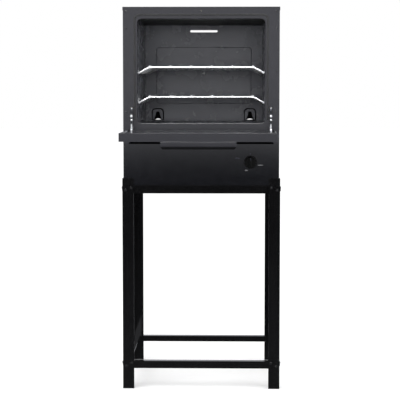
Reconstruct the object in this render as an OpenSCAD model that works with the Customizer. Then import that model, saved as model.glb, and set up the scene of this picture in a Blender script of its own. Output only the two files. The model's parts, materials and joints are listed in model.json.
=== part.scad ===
// Upright gas cabinet smoker on a four-leg angle stand, with a drop-down door.
// Millimetres. +Z is up, the front faces -Y, and the feet stand on Z = 0.
// The door is drawn open, level, as it rests on its stop.

/* [Cabinet] */
// Width over the side panels
case_w = 550; // [450:1:700]
// Depth from the front plane to the back panel
case_d = 534; // [430:1:700]
// Height from the base pan to the top of the roof
case_h = 627; // [560:1:800]
// Thickness of the outer sheet
sheet_t = 1.2; // [0.8:0.1:2]
// How far the roof stands out past each side
roof_over = 1.3; // [1.2:0.1:6]
// Depth of the roof's turned-down edges
roof_lip = 12; // [6:1:30]

/* [Front] */
// Height of the control panel
panel_h = 147; // [120:1:200]
// Thickness of the control panel
panel_t = 1.5; // [1:0.1:3]
// Height of the air gap between control panel and front frame
vent_h = 7; // [4:0.5:15]
// Width of the corner tabs that close the ends of the air gap
vent_tab_w = 19; // [10:1:40]
// Width of the front frame beside the opening
stile_w = 51; // [46:1:70]
// Height of the front frame under the opening
sill_h = 66; // [58:1:90]
// Height from the top of the opening to the top of the roof
head_h = 42; // [38:1:60]
// Corner radius of the opening
open_r = 14; // [6:1:25]
// Depth of the opening's inward lip
lip_d = 20; // [10:1:35]

/* [Chamber] */
// Thickness of the liner sheet
liner_t = 1; // [0.6:0.1:2]
// Space between the back of the liner and the back panel
back_gap = 27; // [20:1:50]
// Height of the lower rack above the opening's sill
lower_rack_h = 92; // [60:1:130]
// Height of the upper rack above the lower rack
rack_pitch = 105; // [70:1:120]
// Diameter of the rack's frame wires
rack_wire_d = 6; // [4:0.5:7]
// Diameter of the rack's cross wires
rack_cross_d = 4; // [2:0.5:5]
// Number of cross wires in a rack
rack_crosses = 20; // [10:1:26]
// Drop of the rack's bent ends
rack_drop = 19; // [12:1:30]
// Diameter of the holes in the chamber floor
floor_hole_d = 26; // [12:1:40]
// Spacing of the holes in the chamber floor
floor_pitch = 78; // [60:1:90]

/* [Door] */
// Thickness of the door
door_t = 28; // [24:0.5:40]
// How far the door's sides stop short of the cabinet's sides
door_inset = 19; // [12:1:24]
// Gap between the front frame and the closed door
door_gap = 3; // [2:0.1:5]
// Height of the hinge pin above the bottom of the front frame
hinge_rise = 27; // [22:1:34]
// Distance of the hinge pin in front of the front plane
hinge_y = 20; // [19:0.5:24]
// Height of the closed door's top edge below the roof's top
door_top_drop = 21; // [19:0.5:30]
// Thickness of the door's sheet
door_sheet_t = 1; // [0.8:0.1:1.5]
// Diameter of the hinge pins
hinge_pin_d = 6; // [4:0.5:7]
// Width of a hinge arm
arm_w = 9; // [8:0.5:12]
// Length of the handle
handle_w = 244; // [120:1:400]
// How far the handle's ledge stands out of the door
handle_out = 25; // [20:1:45]
// Thickness of the handle's sheet
handle_t = 1.8; // [1:0.1:3]

/* [Stand] */
// Height of the stand, from the floor to the cabinet's base
stand_h = 727; // [400:1:900]
// Width of a leg's flanges
leg_flange = 40; // [34:1:60]
// Thickness of the legs
leg_t = 2; // [1.5:0.1:4]
// How far the legs rise beside the cabinet
leg_rise = 26; // [10:1:60]
// Gap between the legs and the cabinet's sides, filled by the side rails
rail_t = 2; // [1.5:0.1:4]
// Height of the top rails
top_rail_h = 28; // [24:1:50]
// Height of the low rails
low_rail_h = 26.5; // [24:0.5:50]
// Height of the low rails' bottom edge above the floor
low_rail_z = 73; // [30:1:200]
// Width of the rails' level flange
rail_flange = 25; // [15:1:34]
// Diameter of the stand's bolts
bolt_d = 5; // [4:0.5:6]

/* [Gas] */
// Distance of the knob from the middle of the panel
knob_x = 174; // [100:1:200]
// Height of the knob above the control panel's bottom edge
knob_h = 83; // [50:1:100]
// Diameter of the knob's bezel
bezel_d = 46; // [36:1:60]
// Diameter of the knob
knob_d = 40; // [28:1:45]
// How far the knob pushes in
push_travel = 3; // [2:0.5:4]
// Diameter of the burner tube
burner_d = 40; // [25:1:55]

/* [Hidden] */
$fn = 32;

// Named clearances
eps = 0.3;           // gap kept between pieces that only pass each other
run_fit = 0.05;      // radial running clearance of a pin in its hole
close_fit = 0.02;    // radial clearance of a pin fixed in its hole
bolt_fit = 0.3;      // radial clearance of a bolt in its hole

// Levels
half_w = case_w / 2;
base_z = stand_h;
panel_top = base_z + panel_h;
frame_z = panel_top + vent_h;
sill_z = frame_z + sill_h;
top_z = base_z + case_h;
under_roof = top_z - sheet_t - eps;
head_z = top_z - head_h;
open_x = half_w - stile_w;
mid_z = (sill_z + head_z) / 2;

// Liner
liner_x = open_x + 2;
ceiling_z = head_z + 2;
floor_t = 1.2;
floor_z = sill_z - sheet_t - eps;
liner_front = lip_d * 0.4;
liner_back_y = case_d - sheet_t - back_gap - liner_t;

// Door, in its closed place
door_out = door_gap + door_t;
door_bottom = frame_z + hinge_rise - 9;
door_top = top_z - door_top_drop;
hinge_z = frame_z + hinge_rise;
door_x = half_w - door_inset;
plateau_x = open_x + 14;
channel_y = door_gap + 14;
arm_x = plateau_x + 2.5;
arm_top = sill_z + 56;

// Stand
leg_x = half_w + rail_t + leg_t;
leg_h = stand_h + leg_rise;
bolt_places = [12, 31.5];
side_bolt_places = [16, 31.5];
bolt_steps = [11.5, 20];
low_bolt_steps = [8.6, 19.5];
bolt_head_d = 9.5;
bolt_head_h = 3.4;
nut_d = 9.2;
nut_h = 4;
hold_down_inset = 70;

// Sheet-metal screws
screw_d = 3.4;
screw_head_d = 7;
screw_hole_d = 3.8;
liner_screw_d = 5;

// Gas line
knob_z = base_z + knob_h;
burner_z = knob_z - 10;
stem_d = 8;
supply_d = 12;
supply_bore = 9;
feed_d = 9;
feed_bore = 6;
inlet_d = 20.9;
inlet_len = 16;
inlet_nut_d = 27;
inlet_nut_t = 4;

// The origin is below the middle of the whole object, open door included
front_reach = hinge_y + door_top - hinge_z;
back_reach = case_d + inlet_len;
y_shift = (front_reach - back_reach) / 2;

// ---- helpers -------------------------------------------------------------

function arc(c, r, a0, a1, n = 6) =
    [for (i = [0:n]) let (a = a0 + (a1 - a0) * i / n) [c[0] + r * cos(a), c[1] + r * sin(a)]];

// Outline of a rectangle with round corners, from its low and high corners
function round_rect(x0, y0, x1, y1, r) = concat(
    arc([x1 - r, y0 + r], r, -90, 0), arc([x1 - r, y1 - r], r, 0, 90),
    arc([x0 + r, y1 - r], r, 90, 180), arc([x0 + r, y0 + r], r, 180, 270));

// A plate that faces the front: its outline is drawn in X and Z
module front_plate(y, t) translate([0, y + t, 0]) rotate([90, 0, 0]) linear_extrude(t) children();

// A plate that faces the side: its outline is drawn in Y and Z
module side_plate(x, t) translate([x, 0, 0]) rotate([90, 0, 90]) linear_extrude(t) children();

// A box from its low corner to its high corner
module box(a, b) translate(a) cube(b - a);

module place() translate([0, y_shift, 0]) children();

module sided(s) {
    if (s > 0) children();
    else mirror([1, 0, 0]) children();
}

module rear(r) {
    if (r == 0) children();
    else translate([0, case_d, 0]) mirror([0, 1, 0]) children();
}

// Turns what is drawn in the closed door's place to the open door's place
module opened() translate([0, -hinge_y, hinge_z]) rotate([90, 0, 0])
    translate([0, hinge_y, -hinge_z]) children();

module rod(a, b, d, n = 24) {
    v = b - a;
    l = norm(v);
    translate(a) rotate([0, acos(v[2] / l), atan2(v[1], v[0])]) cylinder(d = d, h = l, $fn = n);
}

// ---- stand ---------------------------------------------------------------

// Places a bolt at each hole of one corner: the head points outwards along +Z
module corner_bolts() {
    for (level = [[stand_h - top_rail_h, bolt_steps], [low_rail_z, low_bolt_steps]])
        for (i = [0, 1]) {
            translate([leg_x - bolt_places[i], -leg_t, level[0] + level[1][i]])
                rotate([90, 0, 0]) children();
            translate([leg_x, side_bolt_places[i] - leg_t, level[0] + level[1][1 - i]])
                rotate([0, 90, 0]) children();
        }
}

module stand_corners() for (s = [1, -1]) sided(s) for (r = [0, 1]) rear(r) children();

module bolt_hole() translate([0, 0, -12]) cylinder(d = bolt_d + 2 * bolt_fit, h = 24);

module bolt() {
    cylinder(d1 = bolt_head_d, d2 = bolt_head_d * 0.62, h = bolt_head_h);
    translate([0, 0, -leg_t - rail_t - nut_h - 1]) cylinder(d = bolt_d, h = leg_t + rail_t + nut_h + 2);
}

module nut() translate([0, 0, -leg_t - rail_t - nut_h]) difference() {
    cylinder(d = nut_d, h = nut_h, $fn = 6);
    translate([0, 0, -1]) cylinder(d = bolt_d + 2 * close_fit, h = nut_h + 2);
}

module leg(s, r) color([0.2, 0.2, 0.22]) place() sided(s) rear(r) difference() {
    linear_extrude(leg_h) polygon([
        [leg_x - leg_flange, -leg_t], [leg_x, -leg_t], [leg_x, leg_flange - leg_t],
        [leg_x - leg_t, leg_flange - leg_t], [leg_x - leg_t, 0], [leg_x - leg_flange, 0]]);
    corner_bolts() bolt_hole();
}

// A rail across the front, its level flange on top
module cross_rail(z, h, r) color([0.2, 0.2, 0.22]) place() rear(r) difference() {
    rail_x = leg_x - leg_t - 0.5;
    union() {
        box([-rail_x, 0, z], [rail_x, rail_t, z + h]);
        box([-rail_x + rail_t, rail_t / 2, z + h - rail_t], [rail_x - rail_t, rail_flange, z + h]);
    }
    for (s = [1, -1]) sided(s) corner_bolts() bolt_hole();
    cabinet_bolts() bolt_hole();
}

// A rail along the right side; its level flange stops short of the cross rails
module side_rail(z, h, s) color([0.2, 0.2, 0.22]) place() sided(s) difference() {
    out = leg_x - leg_t;
    union() {
        box([out - rail_t, rail_t + 0.5, z], [out, case_d - rail_t - 0.5, z + h]);
        box([out - rail_flange, rail_flange + 0.5, z + h - rail_t],
            [out - rail_t / 2, case_d - rail_flange - 0.5, z + h]);
    }
    for (r = [0, 1]) rear(r) corner_bolts() bolt_hole();
}

// The four bolts that hold the cabinet down on the cross rails
module cabinet_bolts() for (s = [1, -1]) sided(s) for (r = [0, 1]) rear(r)
    translate([half_w - hold_down_inset, rail_flange * 0.6, stand_h - rail_t]) rotate([180, 0, 0]) children();

module stand_bolts() color("silver") place() {
    stand_corners() corner_bolts() bolt();
    cabinet_bolts() {
        cylinder(d1 = bolt_head_d, d2 = bolt_head_d * 0.62, h = bolt_head_h);
        translate([0, 0, -rail_t - sheet_t - nut_h - 1])
            cylinder(d = bolt_d, h = rail_t + sheet_t + nut_h + 2);
    }
}

module stand_nuts() color("silver") place() {
    stand_corners() corner_bolts() nut();
    cabinet_bolts() translate([0, 0, leg_t - sheet_t]) nut();
}

// ---- cabinet -------------------------------------------------------------

pan_inset = 2;
pan_slot_w = 12;
pan_slot_l = 60;

module base_pan() color([0.2, 0.2, 0.22]) place() difference() {
    box([-half_w + pan_inset, pan_inset, base_z], [half_w - pan_inset, case_d - pan_inset, base_z + sheet_t]);
    for (x = [-3:3]) for (y = [0.3, 0.5, 0.7]) translate([x * case_w / 10, case_d * y, base_z])
        cube([pan_slot_w, pan_slot_l, 10], center = true);
    cabinet_bolts() bolt_hole();
}

// Width of the side panels' folded edges, front and back
side_return = 13;

module side_panel(s) color([0.25, 0.25, 0.27]) place() sided(s)
    translate([0, 0, base_z + sheet_t + eps])
    linear_extrude(under_roof - eps - base_z - sheet_t) polygon([
        [half_w - side_return, panel_t + eps], [half_w, panel_t + eps],
        [half_w, case_d - sheet_t - eps], [half_w - side_return, case_d - sheet_t - eps],
        [half_w - side_return, case_d - 2 * sheet_t - eps], [half_w - sheet_t, case_d - 2 * sheet_t - eps],
        [half_w - sheet_t, panel_t + eps + sheet_t], [half_w - side_return, panel_t + eps + sheet_t]]);

module roof() color([0.25, 0.25, 0.27]) place() union() {
    box([-half_w - roof_over, 0, top_z - sheet_t],
        [half_w + roof_over, case_d + sheet_t + eps, top_z]);
    for (s = [1, -1]) sided(s)
        box([half_w + 0.1, 0, top_z - roof_lip], [half_w + roof_over, case_d + sheet_t + eps, top_z - 0.1]);
    box([-half_w, case_d + eps, top_z - roof_lip], [half_w, case_d + sheet_t + eps, top_z - 0.1]);
}

// Centres of the screws on the front frame: three on top and three on each side
frame_screw_x = half_w - 11;
frame_screw_top = top_z - 16;
frame_screw_z = [sill_z + 40, mid_z, head_z - 32];

module frame_screw_places() {
    for (x = [-frame_screw_x, 0, frame_screw_x]) translate([x, 0, frame_screw_top])
        rotate([90, 0, 0]) children();
    for (s = [1, -1]) for (z = frame_screw_z) translate([s * frame_screw_x, 0, z])
        rotate([90, 0, 0]) children();
}

// Pan-head screw, its head standing on Z = 0
module sheet_screw(length) {
    cylinder(d1 = screw_head_d, d2 = screw_head_d * 0.6, h = 1.6);
    translate([0, 0, -length]) cylinder(d = screw_d, h = length + 0.5);
}

module front_frame() color([0.3, 0.3, 0.32]) place() difference() {
    union() {
        front_plate(0, sheet_t) difference() {
            polygon([[-half_w, panel_top + eps], [-half_w + vent_tab_w, panel_top + eps],
                [-half_w + vent_tab_w + 4, frame_z], [half_w - vent_tab_w - 4, frame_z],
                [half_w - vent_tab_w, panel_top + eps], [half_w, panel_top + eps],
                [half_w, under_roof], [-half_w, under_roof]]);
            polygon(round_rect(-open_x, sill_z, open_x, head_z, open_r));
        }
        front_plate(0, lip_d) difference() {
            polygon(round_rect(-open_x - sheet_t, sill_z - sheet_t, open_x + sheet_t,
                head_z + sheet_t, open_r + sheet_t));
            polygon(round_rect(-open_x, sill_z, open_x, head_z, open_r));
        }
    }
    frame_screw_places() translate([0, 0, -5]) cylinder(d = screw_hole_d, h = 10);
    for (s = [1, -1]) sided(s)
        box([arm_x - 1, -1, arm_top - 20], [arm_x + arm_w + 1, sheet_t + 1, arm_top]);
}

module frame_screws() color("black") place() frame_screw_places() sheet_screw(1.4);

// Screws round the back panel
back_screw_z = [base_z + 40, mid_z - 160, mid_z + 20, top_z - 40];
module back_screw_places() for (s = [1, -1]) for (z = back_screw_z)
    translate([s * (half_w - 7), case_d, z]) rotate([-90, 0, 0]) children();

module back_screws() color("silver") place() back_screw_places() sheet_screw(1.1);

exhaust_w = 106;
exhaust_h = 9;
exhaust_z = head_z - 20;

module exhaust_hole(y, t, extra) front_plate(y, t)
    polygon(round_rect(-exhaust_w / 2 - extra, exhaust_z - exhaust_h / 2 - extra,
        exhaust_w / 2 + extra, exhaust_z + exhaust_h / 2 + extra, 4 + extra));

inlet_arch_x = 179;
inlet_arch_w = 43;
inlet_arch_h = 46;
inlet_z = floor_z + 1.5;
bell_top_r = 7.5;
bell_foot = 15;
bell_h = 35;

// Half-width of the bell-shaped opening, from its foot (0) to its shoulder (1)
function bell_half(t) = bell_foot - (bell_foot - bell_top_r) * (1 - cos(t * 180)) / 2;

function bell(grow) = let (shoulder = bell_h - bell_top_r, n = 6) concat(
    [for (i = [0:n - 1]) [bell_half(i / n) + grow, inlet_z + shoulder * i / n - (i == 0 ? grow : 0)]],
    arc([0, inlet_z + shoulder], bell_top_r + grow, 0, 180, 8),
    [for (i = [n - 1:-1:0]) [-bell_half(i / n) - grow, inlet_z + shoulder * i / n - (i == 0 ? grow : 0)]]);

// Two rows of cooling slots low in the back panel
slot_pitch = 34;
slot_w = 24;
slot_h = 6;
slot_rise = 60;
slot_row = 22;

module back_panel() color([0.25, 0.25, 0.27]) place() difference() {
    box([-half_w, case_d - sheet_t, base_z + sheet_t + eps], [half_w, case_d, under_roof]);
    exhaust_hole(case_d - 5, 10, sheet_t + eps);
    for (s = [1, -1]) translate([s * inlet_arch_x, 0, 0]) {
        intersection() {
            translate([0, case_d + 5, inlet_z - 13]) rotate([90, 0, 0]) cylinder(d = 40, h = 10);
            box([-bell_foot, case_d - 6, inlet_z], [bell_foot, case_d + 6, inlet_z + 20]);
        }
    }
    for (x = [-3:3]) for (row = [0, 1])
        translate([x * slot_pitch - slot_w / 2, case_d - 5, base_z + slot_rise + row * slot_row])
            cube([slot_w, 10, slot_h]);
    translate([knob_x, case_d + 5, knob_z]) rotate([90, 0, 0])
        cylinder(d = inlet_d - 4 + 2 * bolt_fit, h = 12);
    back_screw_places() translate([0, 0, -5]) cylinder(d = screw_hole_d, h = 10);
}

// Rope gasket round the top and both sides of the opening
gasket_w = 8;
gasket_out = door_gap - 0.4;
module door_gasket() color([0.05, 0.05, 0.05]) place() front_plate(-gasket_out, gasket_out)
    intersection() {
        difference() {
            polygon(round_rect(-open_x - 5.5 - gasket_w, sill_z - 40, open_x + 5.5 + gasket_w,
                head_z + 10 + gasket_w, open_r + 6));
            polygon(round_rect(-open_x - 5.5, sill_z - 60, open_x + 5.5, head_z + 10, open_r));
        }
        translate([-half_w, sill_z + 10]) square([case_w, case_h]);
    }

// ---- chamber -------------------------------------------------------------

module liner_side(s) color([0.3, 0.3, 0.32]) place() sided(s)
    box([liner_x, liner_front, floor_z + eps / 2], [liner_x + liner_t, liner_back_y - eps, ceiling_z - eps]);

module liner_ceiling() color([0.3, 0.3, 0.32]) place()
    box([-liner_x - liner_t, liner_front, ceiling_z],
        [liner_x + liner_t, liner_back_y - eps, ceiling_z + liner_t]);

emboss_x = liner_x - 42;
emboss_low = sill_z + 66;
emboss_high = head_z - 82;
emboss_d = 4;

module liner_back() color([0.3, 0.3, 0.32]) place() difference() {
    union() {
        box([-liner_x - liner_t, liner_back_y, floor_z + eps / 2],
            [liner_x + liner_t, liner_back_y + liner_t, ceiling_z + liner_t]);
        front_plate(liner_back_y - emboss_d, emboss_d + liner_t)
            polygon(round_rect(-emboss_x, emboss_low, emboss_x, emboss_high, 12));
    }
    front_plate(liner_back_y - emboss_d + liner_t, emboss_d + 1)
        polygon(round_rect(-emboss_x + liner_t, emboss_low + liner_t, emboss_x - liner_t,
            emboss_high - liner_t, 11));
    exhaust_hole(liner_back_y - 2, 6, 0);
    for (s = [1, -1]) translate([s * inlet_arch_x, 0, 0])
        front_plate(liner_back_y - 2, 6) polygon(bell(sheet_t + eps));
    translate([0, liner_back_y - 8, mid_z]) rotate([-90, 0, 0]) cylinder(d = liner_screw_d + 0.4, h = 16);
}

module liner_screw() color("silver") place() translate([0, liner_back_y - emboss_d, mid_z])
    rotate([90, 0, 0]) {
        cylinder(d1 = 11, d2 = 7, h = 3);
        translate([0, 0, -6]) cylinder(d = liner_screw_d, h = 7);
    }

module chamber_floor() color([0.3, 0.3, 0.32]) place() difference() {
    box([-liner_x - liner_t, liner_front, floor_z - floor_t],
        [liner_x + liner_t, case_d - sheet_t - eps, floor_z]);
    for (x = [-1.5:1.5]) for (y = [-1.5:1.5])
        translate([x * floor_pitch, (lip_d + liner_back_y) / 2 + y * floor_pitch, floor_z - 5])
            cylinder(d = floor_hole_d, h = 10);
}

// Racks
rack_z = [sill_z + lower_rack_h, sill_z + lower_rack_h + rack_pitch];
rack_end_x = open_x - 4;
rack_flat_x = rack_end_x - 37;
rack_front = lip_d + 10;
rack_back = liner_back_y - 12;
ledge_w = 11;
ledge_t = 1.5;

// Top of the ledge that carries the rack at height z
function ledge_z(z) = z - rack_drop - rack_wire_d / 2 - 0.2;

module rack_ledges(s) color([0.3, 0.3, 0.32]) place() sided(s) for (z = rack_z) {
    box([liner_x - ledge_w, rack_front - 4, ledge_z(z) - ledge_t],
        [liner_x - 0.1, rack_back + 8, ledge_z(z)]);
    box([liner_x - ledge_t, rack_front - 4, ledge_z(z) - 12],
        [liner_x - 0.1, rack_back + 8, ledge_z(z) - ledge_t / 2]);
}

// A wire across the rack: flat in the middle, bent down at both ends
module cross_wire(y, z, d) {
    rod([-rack_flat_x, y, z], [rack_flat_x, y, z], d, 6);
    for (s = [1, -1])
        rod([s * (rack_flat_x - d * 0.2), y, z], [s * rack_end_x, y, z - rack_drop], d, 6);
}

module rack(z) color("gainsboro") place() union() {
    for (y = [rack_front, rack_back]) cross_wire(y, z, rack_wire_d);
    for (i = [1:rack_crosses])
        cross_wire(rack_front + (rack_back - rack_front) * i / (rack_crosses + 1), z, rack_cross_d);
    for (i = [-2.5:2.5])
        rod([i * rack_flat_x / 2.5, rack_front - 2, z + rack_wire_d * 0.7],
            [i * rack_flat_x / 2.5, rack_back + 2, z + rack_wire_d * 0.7], rack_wire_d, 8);
    for (s = [1, -1])
        rod([s * rack_end_x, rack_front - 2.4, z - rack_drop],
            [s * rack_end_x, rack_back + 2.4, z - rack_drop], rack_wire_d, 8);
}

// Insulation blankets in the double walls
module insulation_side(s) color("khaki") place() sided(s)
    box([liner_x + liner_t + 1, lip_d + 8, floor_z], [half_w - sheet_t - 1, case_d - 6, under_roof - 4]);

module insulation_top() color("khaki") place()
    box([-liner_x, lip_d + 8, ceiling_z + liner_t + 1], [liner_x, case_d - 6, under_roof - 4]);

module insulation_back() color("khaki") place() difference() {
    box([-liner_x, liner_back_y + liner_t + 2, floor_z + 2], [liner_x, case_d - sheet_t - 2, ceiling_z - 1]);
    exhaust_hole(liner_back_y, back_gap + 10, sheet_t + 2);
    for (s = [1, -1]) translate([s * inlet_arch_x, 0, 0])
        front_plate(liner_back_y, back_gap + 10) polygon(bell(sheet_t + 3));
}

// Short flue through the double wall, with a trim flange on the outside
module exhaust_duct() color([0.3, 0.3, 0.32]) place() difference() {
    union() {
        exhaust_hole(liner_back_y + liner_t + 0.1, back_gap + 2 * sheet_t - 0.1, sheet_t);
        exhaust_hole(case_d + 0.05, sheet_t, 12);
    }
    exhaust_hole(liner_back_y - 1, back_gap + 20, 0);
}

function inlet_arch(grow) = concat(
    [[inlet_arch_w / 2 + grow, inlet_z]],
    arc([0, inlet_z + inlet_arch_h - inlet_arch_w / 2], inlet_arch_w / 2 + grow, 0, 180, 14),
    [[-inlet_arch_w / 2 - grow, inlet_z]]);

// Air inlet: an arched flange on the liner and a bell-shaped duct to the back panel
module air_inlet(s) color([0.12, 0.12, 0.13]) place() sided(s) translate([inlet_arch_x, 0, 0]) difference() {
    union() {
        front_plate(liner_back_y - 2.5, 2.4) polygon(inlet_arch(0));
        front_plate(liner_back_y - 2.4, back_gap + liner_t + 2.2) intersection() {
            polygon(bell(sheet_t));
            translate([-30, inlet_z]) square([60, 60]);
        }
    }
    front_plate(liner_back_y - 4, back_gap + 20) polygon(bell(0));
}

// ---- gas line ------------------------------------------------------------

panel_return = 22;

module control_panel() color([0.2, 0.2, 0.22]) place() difference() {
    union() {
        front_plate(0, panel_t) polygon(round_rect(-half_w + 1, base_z + sheet_t + eps,
            half_w - 1, panel_top, 4));
        box([-half_w + vent_tab_w, panel_t / 2, panel_top - panel_t],
            [half_w - vent_tab_w, panel_return, panel_top]);
    }
    translate([knob_x, -5, knob_z]) rotate([-90, 0, 0]) cylinder(d = stem_d + 6, h = 20);
}

module turned(y) translate([knob_x, y, knob_z]) rotate([90, 0, 0]) children();

module knob_bezel() color([0.04, 0.04, 0.04]) place() turned(0) difference() {
    union() {
        cylinder(d = bezel_d, h = 2.5);
        translate([0, 0, 2.4]) cylinder(d1 = bezel_d, d2 = bezel_d - 3, h = 1.2);
    }
    translate([0, 0, -1]) cylinder(d = knob_d + 1.6, h = 8);
}

valve_y = panel_t + 0.1;
valve_d = 46;

module gas_valve() color("goldenrod") place() difference() {
    union() {
        box([knob_x - 17, valve_y + 12, knob_z - 17], [knob_x + 17, valve_y + valve_d, knob_z + 17]);
        turned(valve_y + 12.5) cylinder(d = 26, h = 12.4);
        translate([knob_x, valve_y + valve_d - 1, knob_z]) rotate([-90, 0, 0])
            cylinder(d = 20, h = 7, $fn = 6);
        translate([knob_x - 26, valve_y + 30, burner_z]) rotate([0, 90, 0]) cylinder(d = 16, h = 12, $fn = 6);
    }
    turned(valve_y + 30) cylinder(d = stem_d + 2 * run_fit, h = 40);
    turned(valve_y + 12) cylinder(d = stem_d + 7, h = 20);
}

// Spring cup that the knob pushes back along the stem
module thrust_washer() color("silver") place() turned(valve_y + 8) difference() {
    cylinder(d = stem_d + 6, h = 4);
    translate([0, 0, -1]) cylinder(d = stem_d + 2 * run_fit, h = 8);
}

module control_knob() color([0.04, 0.04, 0.04]) place() {
    knob_back = push_travel + 0.8;
    difference() {
        turned(0) union() {
            translate([0, 0, knob_back]) cylinder(d = knob_d, h = 9);
            translate([0, 0, knob_back + 8.9]) cylinder(d1 = knob_d, d2 = knob_d - 6, h = 3);
            translate([-6, -knob_d / 2 + 1.5, knob_back + 5]) cube([12, knob_d - 3, 19]);
            translate([0, 0, -valve_y - 26]) cylinder(d = stem_d, h = valve_y + 26 + knob_back + 1);
        }
        translate([knob_x - 0.6, -knob_back - 25, knob_z + 4]) cube([1.2, 2, knob_d / 2 - 6]);
    }
}

module supply_pipe() color("goldenrod") place() difference() {
    rod([knob_x, valve_y + valve_d + 6.1, knob_z], [knob_x, case_d - 14, knob_z], supply_d);
    rod([knob_x, valve_y + valve_d, knob_z], [knob_x, case_d, knob_z], supply_bore);
}

module gas_inlet() color("goldenrod") place() difference() {
    union() {
        rod([knob_x, case_d - 13.9, knob_z], [knob_x, case_d + 1, knob_z], inlet_d - 4);
        for (y = [case_d - inlet_nut_t - sheet_t - 0.1, case_d + 0.1]) translate([knob_x, y, knob_z])
            rotate([-90, 0, 0]) cylinder(d = inlet_nut_d, h = inlet_nut_t, $fn = 6);
        rod([knob_x, case_d + 4, knob_z], [knob_x, case_d + inlet_len, knob_z], inlet_d);
    }
    rod([knob_x, case_d - 20, knob_z], [knob_x, case_d + inlet_len + 1, knob_z], supply_bore);
}

feed_y = valve_y + 30;
module feed_pipe() color("goldenrod") place() difference() {
    rod([9.1, feed_y, burner_z], [knob_x - 26.1, feed_y, burner_z], feed_d);
    rod([0, feed_y, burner_z], [knob_x, feed_y, burner_z], feed_bore);
}

module injector() color("goldenrod") place() difference() {
    union() {
        translate([0, feed_y, burner_z]) cube([18, 16, 16], center = true);
        rod([0, feed_y + 7, burner_z], [0, feed_y + 20, burner_z], feed_d);
    }
    rod([0, feed_y, burner_z], [0, feed_y + 30, burner_z], 2);
    rod([0, feed_y, burner_z], [10, feed_y, burner_z], feed_bore);
}

burner_front = feed_y + 60;
burner_back = case_d - 100;
burner_wall = 1.5;
mixer_d = 26;        // outside of the tube that mixes gas and air
port_d = 3;
port_pitch = 24;

module burner_tube() color("silver") place() difference() {
    union() {
        rod([0, burner_front, burner_z], [0, burner_back, burner_z], burner_d);
        rod([0, feed_y + 11, burner_z], [0, burner_front + 4, burner_z], mixer_d);
    }
    rod([0, burner_front + burner_wall, burner_z], [0, burner_back - burner_wall, burner_z],
        burner_d - 2 * burner_wall);
    rod([0, feed_y + 10, burner_z], [0, burner_front + 6, burner_z], mixer_d - 2 * burner_wall);
    for (a = [-35, 35]) for (y = [burner_front + 30:port_pitch:burner_back - 20])
        translate([0, y, burner_z]) rotate([0, a, 0]) cylinder(d = port_d, h = burner_d, $fn = 16);
    translate([0, feed_y + 32, burner_z]) cube([40, 16, 8], center = true);
}

module burner_brackets() color("silver") place() for (y = [burner_front + 12, burner_back - 12])
    difference() {
        front_plate(y - 1, 2) polygon([[-26, base_z + sheet_t + 0.1], [26, base_z + sheet_t + 0.1],
            [26, burner_z], [-26, burner_z]]);
        rod([0, y - 3, burner_z], [0, y + 3, burner_z], burner_d + 2 * close_fit);
    }

// Spark electrode and its lead to the valve's switch
spark_x = 34;
spark_low = burner_z - 18;
lead_d = 3;
electrode_d = 2;

module igniter() color("white") place() {
    tip_y = burner_front + 46;
    top = burner_z + burner_d / 2 + 6;
    corner_x = knob_x - 8;
    rod([spark_x, tip_y, spark_low + 2], [spark_x, tip_y, top - 8], 6);
    rod([spark_x, tip_y, top - 8.5], [spark_x, tip_y, top + 2], electrode_d);
    rod([spark_x, tip_y, top + 1.2], [22, tip_y, top + 1.2], electrode_d);
    rod([spark_x, tip_y, spark_low], [spark_x, tip_y, spark_low + 3], lead_d);
    rod([spark_x, tip_y, spark_low], [corner_x, tip_y, spark_low], lead_d);
    rod([corner_x, tip_y, spark_low], [corner_x, valve_y + valve_d + 1, burner_z - 3], lead_d);
    for (x = [spark_x, corner_x]) translate([x, tip_y, spark_low]) sphere(d = lead_d);
}

// Wood-chip tray over the burner, with the two bars that carry it
tray_z = burner_z + burner_d / 2 + 34;
tray_x = 110;
tray_h = 36;

module chip_tray() color("silver") place() {
    y0 = case_d * 0.36;
    y1 = case_d * 0.74;
    difference() {
        box([-tray_x, y0, tray_z], [tray_x, y1, tray_z + tray_h]);
        box([-tray_x + sheet_t, y0 + sheet_t, tray_z + sheet_t],
            [tray_x - sheet_t, y1 - sheet_t, tray_z + tray_h + 4]);
    }
    for (y = [y0 + 20, y1 - 36])
        box([-half_w + sheet_t + 0.2, y, tray_z - 8], [half_w - sheet_t - 0.2, y + 16, tray_z - 0.1]);
}

// ---- door ----------------------------------------------------------------

eye_r = 7;
arm_foot = [-8, hinge_z + 14];
arm_pin_rises = [16, 24, 50, 64, 84];
arm_pin_d = 6;
arm_pin_y = -9;

// Outline of a hinge arm: an eye at the pin, a straight shank and a hook behind the frame
module arm_outline() union() {
    polygon(concat(arc([-hinge_y, hinge_z], eye_r, 139, 319, 12),
        arc(arm_foot, 5, 319, 360, 3), arc(arm_foot, 5, 180, 139, 3)));
    translate([-13, arm_foot[1]]) square([10, arm_top - 2 - arm_foot[1]]);
    translate([-4, arm_top - 17]) square([15, 15]);
    translate([4, arm_top - 28]) square([7, 14]);
}

module hinge_arm(s) color("gainsboro") place() sided(s) translate([arm_x, 0, 0]) difference() {
    union() {
        side_plate(0, 2) arm_outline();
        side_plate(arm_w - 2, 2) arm_outline();
        box([1, -4.5, hinge_z + 15], [arm_w - 1, -3, arm_top - 2]);
        box([1, -3.5, arm_top - 10], [arm_w - 1, 10.5, arm_top - 6]);
        translate([0, -hinge_y, hinge_z]) rotate([0, 90, 0]) cylinder(r = eye_r - 0.5, h = arm_w);
        for (rise = arm_pin_rises) translate([1, arm_pin_y, hinge_z + rise]) rotate([0, 90, 0])
            cylinder(d = arm_pin_d, h = arm_w - 2);
    }
    translate([-1, -hinge_y, hinge_z]) rotate([0, 90, 0])
        cylinder(d = hinge_pin_d + 2 * run_fit, h = arm_w + 2);
}

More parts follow.
